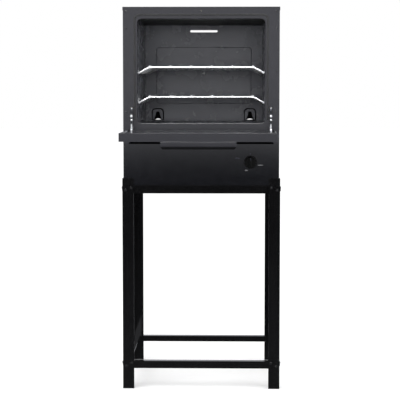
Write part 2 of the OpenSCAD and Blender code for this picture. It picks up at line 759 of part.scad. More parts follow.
door_pad = 0.3;      // gap between the door's nested sheets
notch_x0 = arm_x - 2.4;
notch_x1 = arm_x + arm_w + 2.4;
edge_screw_inset = 10;
handle_screw_x = handle_w * 0.4;
handle_screw_z = door_top - 20;
handle_screw_d = 4;

// Three screws in the door's top edge; Z = 0 is 2 mm under the edge
module edge_screw_places() for (x = [-1, 0, 1])
    translate([x * (door_x - edge_screw_inset), -door_gap - edge_screw_inset, door_top - 2]) children();

module door_skin() color([0.3, 0.3, 0.32]) place() opened() difference() {
    front_plate(-door_out, door_t - 0.5) polygon(round_rect(-door_x, door_bottom, door_x, door_top, 3));
    front_plate(-door_out + door_sheet_t, door_t) polygon(round_rect(-door_x + door_sheet_t,
        door_bottom + door_sheet_t, door_x - door_sheet_t, door_top - door_sheet_t, 2));
    // notches in the hinge edge for the arms: their bottom is the door's open stop
    for (s = [1, -1]) sided(s)
        box([notch_x0, -hinge_y - 1, door_bottom - 1], [notch_x1, 0, door_bottom + door_sheet_t + 1]);
    edge_screw_places() {
        cylinder(d = 3.6, h = 10);
        translate([0, 0, 1.2]) cylinder(d1 = 3.6, d2 = 7.4, h = 1);
    }
    for (x = [-1, 1]) translate([x * handle_screw_x, -door_out - 1, handle_screw_z])
        rotate([-90, 0, 0]) cylinder(d = handle_screw_d + 2 * close_fit, h = 6);
}

module door_liner() color([0.3, 0.3, 0.32]) place() opened() difference() {
    inset = door_sheet_t + door_pad;
    union() {
        front_plate(-channel_y - door_sheet_t, door_sheet_t)
            polygon(round_rect(-door_x + inset, door_bottom + inset, door_x - inset, door_top - inset, 2));
        front_plate(-channel_y - door_sheet_t, channel_y + door_sheet_t - door_gap)
            polygon(round_rect(-plateau_x, door_bottom + inset, plateau_x, door_top - inset, 6));
    }
    front_plate(-channel_y - 2 * door_sheet_t, channel_y + door_sheet_t - door_gap)
        polygon(round_rect(-plateau_x + door_sheet_t, door_bottom + inset + door_sheet_t,
            plateau_x - door_sheet_t, door_top - inset - door_sheet_t, 5));
    for (s = [1, -1]) sided(s)
        box([notch_x0 + 0.1, -channel_y - 5, door_bottom - 1],
            [notch_x1 + 0.6, -channel_y + 5, hinge_z + 20]);
    edge_screw_places() translate([0, 0, -4]) cylinder(d = 5, h = 10);
}

module door_insulation() color("khaki") place() opened() box(
    [-plateau_x + 3, -door_out + 3.5, door_bottom + 4], [plateau_x - 3, -door_gap - 1.5, door_top - 6]);

// Handle along the door's top edge: a ledge with a curled lip, its corners cut off
module door_handle() color([0.3, 0.3, 0.32]) place() opened() {
    curl_r = 10;
    face_y = -door_out - 0.05;
    tip = -door_out - handle_out;
    curl = [tip + curl_r, door_top - curl_r];
    difference() {
        side_plate(-handle_w / 2, handle_w) polygon(concat(
            [[face_y, door_top - 36], [face_y, door_top]],
            arc(curl, curl_r, 90, 180, 8), [[tip, curl[1] - 8], [tip + handle_t, curl[1] - 8]],
            arc(curl, curl_r - handle_t, 180, 90, 8),
            [[face_y - handle_t, door_top - handle_t], [face_y - handle_t, door_top - 36]]));
        for (s = [1, -1]) sided(s) translate([handle_w / 2, tip + curl_r - 1, door_top + 1])
            rotate([0, 0, -128]) translate([-20, 0, -40]) cube([60, 30, 41]);
        for (x = [-1, 1]) translate([x * handle_screw_x, -door_out - 5, handle_screw_z])
            rotate([-90, 0, 0]) cylinder(d = handle_screw_d + 2 * close_fit, h = 8);
    }
    for (x = [-1, 1]) translate([x * handle_screw_x, 0, handle_screw_z]) {
        translate([0, face_y - handle_t, 0]) rotate([90, 0, 0]) cylinder(d1 = 8, d2 = 5, h = 2);
        translate([0, -door_out - 2 - handle_t, 0]) rotate([-90, 0, 0])
            cylinder(d = handle_screw_d, h = 3.4 + handle_t + door_sheet_t);
        translate([0, -door_out + door_sheet_t + 0.05, 0]) rotate([-90, 0, 0]) cylinder(d = 7, h = 1.6);
    }
    edge_screw_places() {
        translate([0, 0, 1.3]) cylinder(d1 = 3.2, d2 = 5.5, h = 0.5);
        translate([0, 0, -1.6]) cylinder(d = 3, h = 3.2);
    }
}

// Cheeks welded in the door round each arm's eye, and the pins through them
module door_hinges() color("silver") place() opened() for (s = [1, -1]) sided(s) {
    cheek_t = 1.4;
    back_y = -door_out + door_sheet_t + 0.1;
    for (x = [arm_x - eps - cheek_t, arm_x + arm_w + eps]) difference() {
        side_plate(x, cheek_t) polygon(concat([[back_y, door_bottom + 2.6]],
            arc([-hinge_y, hinge_z], 6.2, -90, 45, 8), [[back_y, hinge_z + 40]]));
        translate([x - 1, -hinge_y, hinge_z]) rotate([0, 90, 0])
            cylinder(d = hinge_pin_d + 2 * close_fit, h = 4);
    }
    translate([arm_x - eps - cheek_t - 0.2, -hinge_y, hinge_z]) rotate([0, 90, 0])
        cylinder(d = hinge_pin_d, h = arm_w + 2 * eps + 2 * cheek_t + 0.6);
    translate([arm_x + arm_w + eps + cheek_t + 0.1, -hinge_y, hinge_z]) rotate([0, 90, 0])
        cylinder(d = hinge_pin_d + 2, h = 1);
}

// ---- which piece is drawn --------------------------------------------------

leg(-1, 0);  // leg_front_left
leg(1, 0);  // leg_front_right
leg(-1, 1);  // leg_rear_left
leg(1, 1);  // leg_rear_right
cross_rail(stand_h - top_rail_h, top_rail_h, 0);  // top_rail_front
cross_rail(stand_h - top_rail_h, top_rail_h, 1);  // top_rail_rear
side_rail(stand_h - top_rail_h, top_rail_h, -1);  // top_rail_left
side_rail(stand_h - top_rail_h, top_rail_h, 1);  // top_rail_right
cross_rail(low_rail_z, low_rail_h, 0);  // low_rail_front
cross_rail(low_rail_z, low_rail_h, 1);  // low_rail_rear
side_rail(low_rail_z, low_rail_h, -1);  // low_rail_left
side_rail(low_rail_z, low_rail_h, 1);  // low_rail_right
stand_bolts();
stand_nuts();
base_pan();
side_panel(-1);  // side_panel_left
side_panel(1);  // side_panel_right
back_panel();
roof();
front_frame();
frame_screws();
back_screws();
door_gasket();
liner_side(-1);  // liner_left
liner_side(1);  // liner_right
liner_ceiling();
liner_back();
liner_screw();
chamber_floor();
rack_ledges(-1);  // rack_ledges_left
rack_ledges(1);  // rack_ledges_right
rack(rack_z[1]);  // upper_rack
rack(rack_z[0]);  // lower_rack
insulation_side(-1);  // insulation_left
insulation_side(1);  // insulation_right
insulation_top();
insulation_back();
exhaust_duct();
air_inlet(-1);  // air_inlet_left
air_inlet(1);  // air_inlet_right
control_panel();
knob_bezel();
gas_valve();
thrust_washer();
control_knob();
supply_pipe();
gas_inlet();
feed_pipe();
injector();
burner_tube();
burner_brackets();
igniter();
chip_tray();
hinge_arm(-1);  // hinge_arm_left
hinge_arm(1);  // hinge_arm_right
door_skin();
door_liner();
door_insulation();
door_handle();
door_hinges();
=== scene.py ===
# %% [markdown]
# # An upright gas smoker cabinet
# A sheet-steel cabinet stands on four angle-steel legs, its drop-down door open and its two wire
# racks in place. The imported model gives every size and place. This lesson gives each piece its
# real finish, and models the pieces whose charm is in their detail: bent wire, rope seal, rivets,
# pressed steel, a moulded knob. Everything is in metres.

# %% Load the frame
import json
import math
import random

import bmesh
import bpy
from mathutils import Matrix, Vector


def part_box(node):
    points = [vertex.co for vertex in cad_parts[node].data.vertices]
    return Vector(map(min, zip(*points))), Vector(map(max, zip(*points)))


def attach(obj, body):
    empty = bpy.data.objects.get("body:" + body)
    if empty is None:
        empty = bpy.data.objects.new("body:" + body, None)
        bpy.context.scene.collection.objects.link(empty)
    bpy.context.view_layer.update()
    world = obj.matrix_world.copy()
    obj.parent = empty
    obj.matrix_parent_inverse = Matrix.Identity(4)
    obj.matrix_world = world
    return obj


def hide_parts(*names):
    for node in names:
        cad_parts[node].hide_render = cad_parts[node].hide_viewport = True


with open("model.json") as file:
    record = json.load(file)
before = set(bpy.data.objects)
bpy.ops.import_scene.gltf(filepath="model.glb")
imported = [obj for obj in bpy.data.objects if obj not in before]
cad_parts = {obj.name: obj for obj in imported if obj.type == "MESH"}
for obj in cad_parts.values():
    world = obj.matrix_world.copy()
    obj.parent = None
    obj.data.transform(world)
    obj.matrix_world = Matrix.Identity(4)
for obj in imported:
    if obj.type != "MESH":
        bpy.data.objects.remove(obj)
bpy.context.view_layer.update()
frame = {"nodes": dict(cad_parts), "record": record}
mm = 0.001

# %% [markdown]
# The camera comes first, because every finish is judged through it. A catalogue picture of a tall
# cabinet is taken from a few metres away with a long lens, near the height of the opening, so that
# upright edges stay nearly parallel. It could aim at an empty; a location and a turn are simpler.

# %% Camera
front_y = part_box("front_frame")[0].y
camera_back = 4.805
camera_side = 0.099
camera_height = 1.05
camera_pitch = math.radians(85.55)
camera_swing = math.radians(1.23)
long_lens = 122.7
camera_data = bpy.data.cameras.new("studio_camera")
camera_data.lens = long_lens
camera_data.sensor_width = 36
camera_data.clip_end = 60
camera = bpy.data.objects.new("studio_camera", camera_data)
bpy.context.scene.collection.objects.link(camera)
camera.location = (camera_side, front_y - camera_back, camera_height)
camera.rotation_euler = (camera_pitch, 0, camera_swing)
bpy.context.scene.camera = camera
print("camera at", [round(x, 3) for x in camera.location])

# %% [markdown]
# The studio is a white room. Dark enamel shows almost nothing but what it mirrors, so the room
# seen by gloss matters more than the lamps: bright from the horizon up, brightest in front, and
# dark low in front, where the camera stands on a black cloth. That is why the cabinet looks grey
# and its legs look black. The world's nodes can tell a mirror ray from a diffuse one, so one world
# does both.

# %% Helpers for node trees


def link(tree, out_socket, in_socket):
    tree.links.new(out_socket, in_socket)


def map_range(tree, value, low, high, to_low, to_high):
    """A smooth step that carries value from one range into another."""
    made = tree.nodes.new("ShaderNodeMapRange")
    made.interpolation_type = "SMOOTHSTEP"
    link(tree, value, made.inputs["Value"])
    for name, number in (("From Min", low), ("From Max", high), ("To Min", to_low), ("To Max", to_high)):
        made.inputs[name].default_value = number
    return made.outputs["Result"]


def maths(tree, operation, first, second):
    """A Math node; each input is a number or another node's output."""
    made = tree.nodes.new("ShaderNodeMath")
    made.operation = operation
    for socket, value in zip(made.inputs, (first, second)):
        if isinstance(value, (int, float)):
            socket.default_value = value
        else:
            link(tree, value, socket)
    return made.outputs[0]


# %% Studio room
# A band is where one brightness passes into the next. Bands of height are sines of the angle
# above level; ahead_band is along Y, where -1 is straight in front. steepest keeps the compass from
# dividing by nought straight up.
horizon_band = (-0.058, -0.020)
high_band = (0.01, 0.09)
cloth_band = (-0.22, -0.08)
ahead_band = (-0.97, -0.86)
front_bright = 1.6
side_bright = 1.0
high_dim = 0.8
cloth_far = 0.015
cloth_near = 0.11
side_floor = 0.62
steepest = 0.01
room_tint = (0.975, 0.985, 1.05, 1)

world = bpy.data.worlds.new("white_room")
bpy.context.scene.world = world
world.use_nodes = True
room = world.node_tree
room.nodes.clear()
direction = room.nodes.new("ShaderNodeTexCoord").outputs["Generated"]
split = room.nodes.new("ShaderNodeSeparateXYZ")
link(room, direction, split.inputs[0])
height = split.outputs["Z"]
up = map_range(room, height, *horizon_band, 0, 1)
dimmed = map_range(room, height, *high_band, 1, high_dim)
cloth = map_range(room, height, *cloth_band, cloth_near, cloth_far)
flatness = maths(room, "SUBTRACT", 1, maths(room, "MULTIPLY", height, height))
level = maths(room, "SQRT", maths(room, "MAXIMUM", flatness, steepest), 0)
compass = maths(room, "DIVIDE", split.outputs["Y"], level)
ahead = map_range(room, compass, *ahead_band, 1, 0)
darker = maths(room, "MULTIPLY", ahead, maths(room, "SUBTRACT", cloth, side_floor))
low_level = maths(room, "ADD", darker, side_floor)
low_part = maths(room, "MULTIPLY", maths(room, "SUBTRACT", 1, up), low_level)
bright = map_range(room, compass, *ahead_band, front_bright, side_bright)
high_part = maths(room, "MULTIPLY", maths(room, "MULTIPLY", up, dimmed), bright)
mirrored = maths(room, "ADD", low_part, high_part)
path = room.nodes.new("ShaderNodeLightPath")
glossy = maths(room, "MULTIPLY", path.outputs["Is Glossy Ray"], maths(room, "SUBTRACT", mirrored, 1))
light = room.nodes.new("ShaderNodeBackground")
tint = room.nodes.new("ShaderNodeMix")
tint.data_type = "RGBA"
tint.inputs["A"].default_value = (1, 1, 1, 1)
tint.inputs["B"].default_value = room_tint
link(room, path.outputs["Is Glossy Ray"], tint.inputs["Factor"])
link(room, tint.outputs["Result"], light.inputs["Color"])
link(room, maths(room, "ADD", 1, glossy), light.inputs["Strength"])
link(room, light.outputs[0], room.nodes.new("ShaderNodeOutputWorld").inputs["Surface"])
bpy.context.scene.view_settings.view_transform = "Standard"
bpy.context.scene.view_settings.look = "None"
print("world nodes", len(room.nodes))

# %% [markdown]
# A pale floor catches a faint contact shadow. It is kept out of the gloss, as the black cloth
# would be. Two soft lamps, one large and high at the left and one low-powered at the right, round
# the edges without hard shadows, and a weak one in front looks into the chamber. A long strip
# overhead is seen by gloss alone: it draws a thin bright line along every rounded level edge.

# %% Floor
floor_size = 70
floor_grey = (0.93, 0.93, 0.93, 1)
floor_gloss = 0.9
floor_glow = 0.2
bpy.ops.mesh.primitive_plane_add(size=floor_size, location=(0, 0, 0))
floor = bpy.context.object
floor.name = "studio_floor"
floor.visible_glossy = False
floor_paint = bpy.data.materials.new("studio_floor_paint")
floor_paint.use_nodes = True
floor_shader = floor_paint.node_tree.nodes["Principled BSDF"]
floor_shader.inputs["Base Color"].default_value = floor_grey
floor_shader.inputs["Roughness"].default_value = floor_gloss
floor_shader.inputs["Emission Color"].default_value = (1, 1, 1, 1)
floor_shader.inputs["Emission Strength"].default_value = floor_glow
floor.data.materials.append(floor_paint)
print("floor", floor_size, "m wide")

# %% Lamps


def lamp(name, place, aim, size, watts):
    """A soft lamp, size wide and high, that faces a point."""
    data = bpy.data.lights.new(name, "AREA")
    data.shape = "RECTANGLE"
    data.size, data.size_y, data.energy = *size, watts
    made = bpy.data.objects.new(name, data)
    bpy.context.scene.collection.objects.link(made)
    made.location = place
    made.rotation_euler = (Vector(aim) - Vector(place)).to_track_quat("-Z", "Y").to_euler()
    made.visible_glossy = False
    return made


lamp("soft_lamp_left", place=(-2.6, -2.8, 3.2), aim=(0, 0, 0.9), size=(2.2, 2.2), watts=70)
lamp("soft_lamp_right", place=(3.0, -1.6, 2.0), aim=(0, 0, 0.9), size=(1.8, 1.8), watts=25)
lamp("front_fill", place=(0, -3.4, 1.15), aim=(0, 0, 1.05), size=(1.6, 0.7), watts=22)
edge_strip = lamp("edge_strip", place=(0, -1.5, 3.1), aim=(0, -0.1, 0.9), size=(3.4, 0.6), watts=270)
edge_strip.visible_glossy = True
edge_strip.visible_diffuse = False
print("lamps", len(bpy.data.lights))

# %% [markdown]
# ## Finishes
# Every finish is a small recipe of noise: one soft cloud varies the colour, another the gloss, and
# a fine one raises the surface. Patterns are read in object space, in metres, so a pattern keeps
# its real size and stays on the piece when it moves. Pictures could do this too, but noise never
# repeats and needs no seams.

# %% The finish helper
noise_edge = 0.55
cloud_span = (0.3, 0.7)
streak_scale = 2.7
finishes = {}


def noise(tree, coords, scale, detail):
    """A noise pattern; scale is cells per metre."""
    made = tree.nodes.new("ShaderNodeTexNoise")
    made.inputs["Scale"].default_value = scale
    made.inputs["Detail"].default_value = detail
    made.inputs["Roughness"].default_value = noise_edge
    link(tree, coords, made.inputs["Vector"])
    return made.outputs[0]


def ramp(tree, value, *stops):
    """A colour ramp through (position, colour) stops."""
    made = tree.nodes.new("ShaderNodeValToRGB")
    points = made.color_ramp.elements
    while len(points) < len(stops):
        points.new(0.5)
    for point, (position, colour) in zip(points, stops):
        point.position, point.color = position, (*colour, 1)
    link(tree, value, made.inputs["Fac"])
    return made.outputs["Color"]


def finish(name, light_tone, dark_tone, cloud, gloss, grain, rise, depth, metal=0.0, ior=1.5):
    """A painted or metal finish: clouded colour, clouded gloss and a fine grain of bumps.

    cloud and grain are cells per metre, gloss is a range of roughness, depth is in mm."""
    made = finishes[name] = bpy.data.materials.new(name)
    made.use_nodes = True
    tree = made.node_tree
    shader = tree.nodes["Principled BSDF"]
    coords = tree.nodes.new("ShaderNodeTexCoord").outputs["Object"]
    clouds = noise(tree, coords, cloud, detail=3)
    tones = ramp(tree, clouds, (cloud_span[0], dark_tone), (cloud_span[1], light_tone))
    link(tree, tones, shader.inputs["Base Color"])
    streaks = noise(tree, coords, cloud * streak_scale, detail=4)
    link(tree, map_range(tree, streaks, *cloud_span, *gloss), shader.inputs["Roughness"])
    bump = tree.nodes.new("ShaderNodeBump")
    bump.inputs["Strength"].default_value = rise
    bump.inputs["Distance"].default_value = depth * mm
    link(tree, noise(tree, coords, grain, detail=2), bump.inputs["Height"])
    link(tree, bump.outputs["Normal"], shader.inputs["Normal"])
    shader.inputs["Metallic"].default_value = metal
    shader.inputs["IOR"].default_value = ior


# %% Enamels and paints
finish(
    "charcoal_enamel", (0.0115, 0.0115, 0.0148), (0.0095, 0.0095, 0.0124),
    cloud=14, gloss=(0.14, 0.18), grain=1100, rise=0.03, depth=0.05)
finish(
    "stand_paint", (0.0040, 0.0040, 0.0043), (0.0028, 0.0028, 0.0031),
    cloud=22, gloss=(0.05, 0.07), grain=900, rise=0.03, depth=0.05)
finish(
    "panel_enamel", (0.0054, 0.0057, 0.0072), (0.0045, 0.0048, 0.0062),
    cloud=14, gloss=(0.07, 0.09), grain=1000, rise=0.02, depth=0.05, ior=1.48)
finish(
    "liner_enamel", (0.0930, 0.0960, 0.1120), (0.0890, 0.0920, 0.1075),
    cloud=5, gloss=(0.26, 0.28), grain=1000, rise=0.02, depth=0.03, ior=1.6)
finish(
    "ceiling_enamel", (0.0400, 0.0430, 0.0400), (0.0310, 0.0330, 0.0315),
    cloud=12, gloss=(0.6, 0.8), grain=800, rise=0.2, depth=0.1, ior=1.3)
finish(
    "black_enamel", (0.0050, 0.0050, 0.0054), (0.0030, 0.0030, 0.0033),
    cloud=60, gloss=(0.12, 0.2), grain=1400, rise=0.05, depth=0.05)
print("painted finishes", sorted(finishes))

# %% [markdown]
# The bare metals and the odd materials follow: bright zinc on fasteners and hinge pins, dull zinc on
# the hinge channels, chrome on the racks, plain steel on the burner and brass on the gas line. Then
# come a flat black that paints shade, two printed inks, moulded plastic, rope, mineral wool and
# porcelain. Each differs in the tone, gloss and size of its noise.

# %% Metals, inks, plastic, rope, wool and porcelain
finish(
    "zinc_steel", (0.84, 0.85, 0.87), (0.66, 0.67, 0.69), cloud=220, gloss=(0.2, 0.34),
    grain=1500, rise=0.12, depth=0.1, metal=0.5)
finish(
    "chrome_wire", (0.86, 0.865, 0.87), (0.76, 0.765, 0.77), cloud=90, gloss=(0.20, 0.32),
    grain=1800, rise=0.05, depth=0.05, metal=0.7)
finish(
    "burner_steel", (0.46, 0.44, 0.42), (0.25, 0.23, 0.22), cloud=30, gloss=(0.28, 0.5),
    grain=1400, rise=0.1, depth=0.1, metal=1.0)
finish(
    "dull_zinc", (0.075, 0.076, 0.08), (0.045, 0.046, 0.05), cloud=160, gloss=(0.3, 0.45),
    grain=1500, rise=0.12, depth=0.1, metal=1.0)
# painted_shade_black is painted shade: a flat black laid on holes, gaps and faces turned from the light.
finish(
    "painted_shade_black", (0.0030, 0.0030, 0.0032), (0.0015, 0.0015, 0.0016), cloud=80, gloss=(0.7, 0.9),
    grain=900, rise=0.15, depth=0.1, ior=1.2)
finish(
    "print_grey", (0.150, 0.151, 0.156), (0.115, 0.116, 0.120), cloud=600, gloss=(0.45, 0.6),
    grain=2500, rise=0.05, depth=0.02)
finish(
    "print_blue", (0.030, 0.031, 0.050), (0.024, 0.025, 0.040), cloud=600, gloss=(0.45, 0.6),
    grain=2500, rise=0.05, depth=0.02)
finish(
    "gas_brass", (0.78, 0.56, 0.22), (0.56, 0.37, 0.13), cloud=60, gloss=(0.2, 0.38),
    grain=1600, rise=0.08, depth=0.1, metal=1.0)
finish(
    "black_plastic", (0.0026, 0.0028, 0.0023), (0.0016, 0.0017, 0.0014), cloud=90,
    gloss=(0.34, 0.46), grain=2400, rise=0.12, depth=0.06, ior=1.25)
finish(
    "seal_black", (0.012, 0.012, 0.013), (0.004, 0.004, 0.004), cloud=500,
    gloss=(0.75, 0.95), grain=3000, rise=0.6, depth=0.2)
finish(
    "mineral_wool", (0.62, 0.55, 0.33), (0.42, 0.35, 0.18), cloud=120, gloss=(0.85, 1.0),
    grain=700, rise=0.8, depth=1.5)
finish(
    "white_ceramic", (0.82, 0.81, 0.78), (0.70, 0.69, 0.66), cloud=150, gloss=(0.12, 0.25),
    grain=1200, rise=0.05, depth=0.05)
print("all finishes", sorted(finishes))

# %% [markdown]
# Every imported piece is painted by the material slot that its record gives, apart from two: the
# ceiling of the chamber, in a darker and duller enamel than the walls, and the glossier control
# panel. Pieces that keep their imported shape, such as the wool in the walls, show this paint as it is.

# %% Paint the imported pieces
slot_of = {part["node"]: part["material_slot"] for part in frame["record"]["subparts"]}
body_of = {node: body for body, nodes in frame["record"]["behaviour"]["bodies"].items() for node in nodes}
own_finish = {"liner_ceiling": "ceiling_enamel", "control_panel": "panel_enamel"}
for node, shown in frame["nodes"].items():
    shown.data.materials.clear()
    shown.data.materials.append(finishes[own_finish.get(node, slot_of[node])])
print("painted nodes", len(frame["nodes"]))

# %% [markdown]
# ## Folded sheet steel
# The panels, rails, legs and the door are folded sheet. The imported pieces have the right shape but
# knife-sharp edges, and it is the small round along an edge that catches the light. A copy of the
# mesh is merged, its flat faces are joined, and a bevel rounds what is left. Modelling every panel
# again would give the same thing with more chances for error.

# %% Helpers: select pieces, choose parts of one
fold_angle = math.radians(5)


def only(*pieces):
    """Leaves exactly these pieces selected, the first one active."""
    if bpy.context.mode != "OBJECT":
        bpy.ops.object.mode_set(mode="OBJECT")
    bpy.ops.object.select_all(action="DESELECT")
    for piece in pieces:
        piece.select_set(True)
    bpy.context.view_layer.objects.active = pieces[0]


def choose(piece, kind, test):
    """In edit mode, selects the faces, folded edges or corners that pass the test."""
    only(piece)
    bpy.ops.object.mode_set(mode="EDIT")
    bpy.ops.mesh.select_mode(type=kind)
    bpy.ops.mesh.select_all(action="DESELECT")
    cage = bmesh.from_edit_mesh(piece.data)
    if kind == "FACE":
        found = [f for f in cage.faces if test(f.calc_center_median(), f.normal)]
    elif kind == "EDGE":
        folded = [e for e in cage.edges if e.calc_face_angle(math.pi) > fold_angle]
        found = [e for e in folded if test(*(v.co for v in e.verts))]
    else:
        found = [v for v in cage.verts if test(v.co, v.normal)]
    for part in found:
        part.select_set(True)
    cage.select_flush_mode()
    bmesh.update_edit_mesh(piece.data)
    return len(found)


def object_mode():
    bpy.ops.object.mode_set(mode="OBJECT")


# %% Helpers: change a piece, and finish it
merge_within = 0.002 * mm
flat_within = math.radians(0.5)
fold_steps = 4


def modify(piece, kind, **settings):
    """Adds a modifier, sets it and applies it."""
    only(piece)
    made = piece.modifiers.new(kind.lower(), kind)
    for name, value in settings.items():
        setattr(made, name, value)
    bpy.ops.object.modifier_apply(modifier=made.name)


def settle(piece, name, body, paint=None, stands_for=(), sharp=40):
    """Applies the piece's place, smooths it, paints it and puts it on its body."""
    only(piece)
    piece.name = piece.data.name = name
    bpy.ops.object.transform_apply(location=True, rotation=True, scale=True)
    bpy.ops.object.shade_smooth_by_angle(angle=math.radians(sharp))
    modify(piece, "WEIGHTED_NORMAL", weight=100, keep_sharp=True)
    if paint:
        piece.data.materials.clear()
        piece.data.materials.append(finishes[paint])
    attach(piece, body)
    if stands_for:
        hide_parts(*stands_for)
    return piece


def copy_of(node):
    """A merged copy of a CAD node, with its flat faces joined."""
    data = frame["nodes"][node].data.copy()
    piece = bpy.data.objects.new(node + "_copy", data)
    bpy.context.scene.collection.objects.link(piece)
    only(piece)
    bpy.ops.mesh.customdata_custom_splitnormals_clear()
    bpy.ops.object.mode_set(mode="EDIT")
    bpy.ops.mesh.select_all(action="SELECT")
    bpy.ops.mesh.remove_doubles(threshold=merge_within)
    bpy.ops.mesh.dissolve_limited(angle_limit=flat_within, delimit=set())
    object_mode()
    return piece


def soften(node, round_by=0.5 * mm, segments=2, folds=(), paint=None, turn=30):
    """Replaces a node by a copy whose edges are rounded; folds are (test, radius) pairs."""
    piece = copy_of(node)
    for test, radius in folds:
        if choose(piece, "EDGE", test):
            bpy.ops.mesh.bevel(offset=radius, offset_type="OFFSET", segments=fold_steps, profile=0.5)
        object_mode()
    modify(piece, "BEVEL", width=round_by, segments=segments, limit_method="ANGLE",
           angle_limit=math.radians(turn), use_clamp_overlap=True)
    settle(piece, node + "_sheet", body_of[node], paint or slot_of[node], [node])
    print(f"{piece.name}: {len(piece.data.polygons)} faces")
    return piece


# %% Round the stand and the panels
plain_sheets = [
    "top_rail_front", "top_rail_rear", "top_rail_left", "top_rail_right",
    "low_rail_front", "low_rail_rear", "low_rail_left", "low_rail_right",
    "leg_front_left", "leg_front_right", "leg_rear_left", "leg_rear_right",
    "base_pan", "side_panel_left", "side_panel_right", "roof", "back_panel", "control_panel",
    "liner_left", "liner_right", "liner_ceiling", "chamber_floor", "rack_ledges_left",
    "rack_ledges_right", "exhaust_duct", "chip_tray"]
sheets = {node: soften(node, paint=own_finish.get(node)) for node in plain_sheets}

# %% [markdown]
# The sill of the opening and the door's raised inner panel are drawn over a die, so their edges
# are rounder than a plain fold, and each shows a thin bright line. Only those edges get the wide
# bevel. The back panel's inner side is painted black: painted shade behind the chamber's back wall.

# %% Rounder edges at the opening and on the door's inner panel
frame_low, frame_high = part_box("front_frame")
liner_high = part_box("door_liner")[1]
skin_low, skin_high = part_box("door_skin")
within = 0.1 * mm
stile = 50 * mm
sill_rise = 60 * mm
opening_half = frame_high.x - stile


def opening_edge(a, b):
    """True for the front edges of the cabinet's opening."""
    inside = all(abs(p.x) < opening_half and p.z > frame_low.z + sill_rise for p in (a, b))
    return inside and max(a.y, b.y) < frame_low.y + within


def panel_edge(a, b):
    """True for the upper edges of the open door's raised inner panel."""
    return min(a.z, b.z) > liner_high.z - within


def rim_edge(a, b):
    """True for the outer corner of the open door's far rim."""
    return min(a.z, b.z) > skin_high.z - within and max(a.y, b.y) < skin_low.y + within


soften("front_frame", folds=((opening_edge, 1.8 * mm),))
soften("door_liner", folds=((panel_edge, 1.6 * mm),))
soften("door_skin", folds=((rim_edge, 0.9 * mm),))
back_panel = sheets["back_panel"]
back_panel.data.materials.append(finishes["painted_shade_black"])
# Faces that look into the cabinet get the black: painted shade.
for face in back_panel.data.polygons:
    if face.normal.y < -0.5:
        face.material_index = 1

# %% [markdown]
# ## Wire racks
# Each rack is welded from bright wire: cross wires whose ends are bent down to rest on the ledges,
# and six stouter wires laid over them from front to back. A wire can be a swept circle or a curve
# with thickness. Here one corner is drawn out along the route, its bends are rounded as a wire
# bender would, and the line is turned into a tube. One rack is modelled, and the other is its copy.

# %% The wire helper


def wire(route, diameter, bend=0.0, sides=8):
    """A round wire along a route of points, its inner corners rounded by bend."""
    bpy.ops.object.select_all(action="DESELECT")
    bpy.ops.mesh.primitive_plane_add(size=mm, location=route[0])
    piece = bpy.context.object
    bpy.ops.object.transform_apply(location=True)
    bpy.ops.object.mode_set(mode="EDIT")
    bpy.ops.mesh.select_mode(type="VERT")
    bpy.ops.mesh.select_all(action="SELECT")
    bpy.ops.mesh.merge(type="CENTER")
    for a, b in zip(route, route[1:]):
        step = Vector(b) - Vector(a)
        bpy.ops.mesh.extrude_vertices_move(TRANSFORM_OT_translate={"value": step})
    if bend:
        ends = (Vector(route[0]), Vector(route[-1]))
        choose(piece, "VERT", lambda co, n: min((co - e).length for e in ends) > mm / 2)
        bpy.ops.mesh.bevel(offset=bend, segments=3, affect="VERTICES")
    object_mode()
    bpy.ops.object.convert(target="CURVE")
    piece = bpy.context.object
    piece.data.bevel_depth = diameter / 2
    piece.data.bevel_resolution = (sides - 4) // 2
    piece.data.use_fill_caps = True
    bpy.ops.object.convert(target="MESH")
    return bpy.context.object


def at_places(piece, matrices):
    """Copies of the piece at each place, all joined into one; the piece itself is used up."""
    made = []
    for matrix in matrices:
        twin = bpy.data.objects.new(piece.name, piece.data.copy())
        bpy.context.scene.collection.objects.link(twin)
        twin.data.transform(matrix)
        made.append(twin)
    bpy.data.objects.remove(piece)
    return joined(made)


def joined(pieces):
    only(*pieces)
    if len(pieces) > 1:
        bpy.ops.object.join()
    return bpy.context.object


# %% One rack
rack_low, rack_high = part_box("upper_rack")
frame_wire = 6 * mm
cross_wire = 4 * mm
crosses = 20
long_wires = 6
bend_in = 37 * mm
bend_round = 9 * mm
drop = 19 * mm
weld_radius = 2.6 * mm
weld_below = 2.2 * mm
weld_squash = (1.25, 0.9, 0.75, 1)
end_x = rack_high.x - frame_wire / 2
flat_x = end_x - bend_in
flat_z = rack_low.z + frame_wire / 2 + drop
wire_front = rack_low.y + frame_wire / 2
wire_back = rack_high.y - frame_wire / 2


def cross(y, diameter):
    route = [(-end_x, y, flat_z - drop), (-flat_x, y, flat_z), (flat_x, y, flat_z),
             (end_x, y, flat_z - drop)]
    return wire(route, diameter, bend=bend_round)


gap = (wire_back - wire_front) / (crosses + 1)
cross_y = [wire_front + gap * i for i in range(crosses + 2)]
parts = [cross(wire_front, frame_wire), cross(wire_back, frame_wire)]
parts += [cross(y, cross_wire) for y in cross_y[1:-1]]
over = rack_high.z - frame_wire / 2
long_x = [flat_x * (2 * i / (long_wires - 1) - 1) for i in range(long_wires)]
for x in long_x:
    parts.append(wire([(x, rack_low.y + mm, over), (x, rack_high.y - mm, over)], frame_wire))
for side in (-1, 1):
    z = flat_z - drop
    parts.append(wire([(side * end_x, rack_low.y, z), (side * end_x, rack_high.y, z)], frame_wire))
bpy.ops.mesh.primitive_ico_sphere_add(subdivisions=1, radius=weld_radius)
weld = bpy.context.object
welds = [Matrix.Translation((x, y, over - weld_below)) @ Matrix.Diagonal(weld_squash)
         for x in long_x for y in cross_y]
parts.append(at_places(weld, welds))
upper = joined(parts)
print("rack wires", len(parts) - 1, "welds", len(welds))

